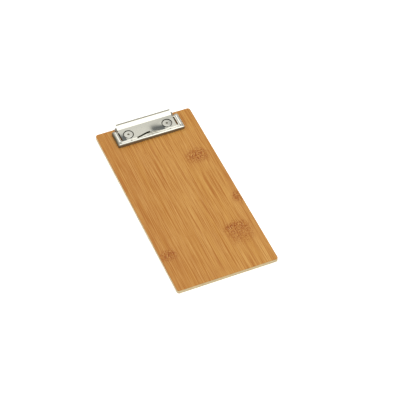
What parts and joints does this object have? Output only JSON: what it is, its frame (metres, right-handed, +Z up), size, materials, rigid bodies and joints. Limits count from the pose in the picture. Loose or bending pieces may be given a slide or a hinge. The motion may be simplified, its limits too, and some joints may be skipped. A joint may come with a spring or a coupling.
{
  "type": "clipboard",
  "caption": "Slim bamboo-faced clipboard with rounded corners and a low-profile sprung metal clip whose lever tilts up at the front to take a sheet of paper.",
  "frame": {"origin": "centre of the board's underside", "axes": "+X across the board to the right, +Y along the board towards the clip, +Z up out of the writing face"},
  "size_m": [0.115, 0.245, 0.0126],
  "materials": {
    "bamboo_veneer": "caramel bamboo veneer, satin lacquer, fine lengthwise grain",
    "pale_core": "pale cross-laid core, sanded edge",
    "nickel_plate": "bright nickel plate over pressed steel",
    "nickel_rivet": "bright nickel plated domed rivet",
    "zinc_steel": "zinc plated steel",
    "spring_wire": "drawn spring wire"
  },
  "bodies": {
    "board": {"back_veneer": "bamboo_veneer", "core": "pale_core", "face_veneer": "bamboo_veneer", "rivet_washer_left": "zinc_steel", "rivet_washer_right": "zinc_steel", "base_plate": "nickel_plate", "pivot_pin": "zinc_steel", "torsion_spring": "spring_wire", "rivet_left": "nickel_rivet", "rivet_right": "nickel_rivet"},
    "lever": {"clip_lever": "nickel_plate"}
  },
  "joints": [
    {"name": "lever_hinge", "type": "hinge", "parent": "board", "child": "lever", "pos_m": [0, 0.1184, 0.0064], "axis": [-1, 0, 0], "range_deg": [0, 38], "stiffness_Nm_per_rad": 0.15, "springref_deg": -60.16, "deforming": ["torsion_spring"]}
  ]
}
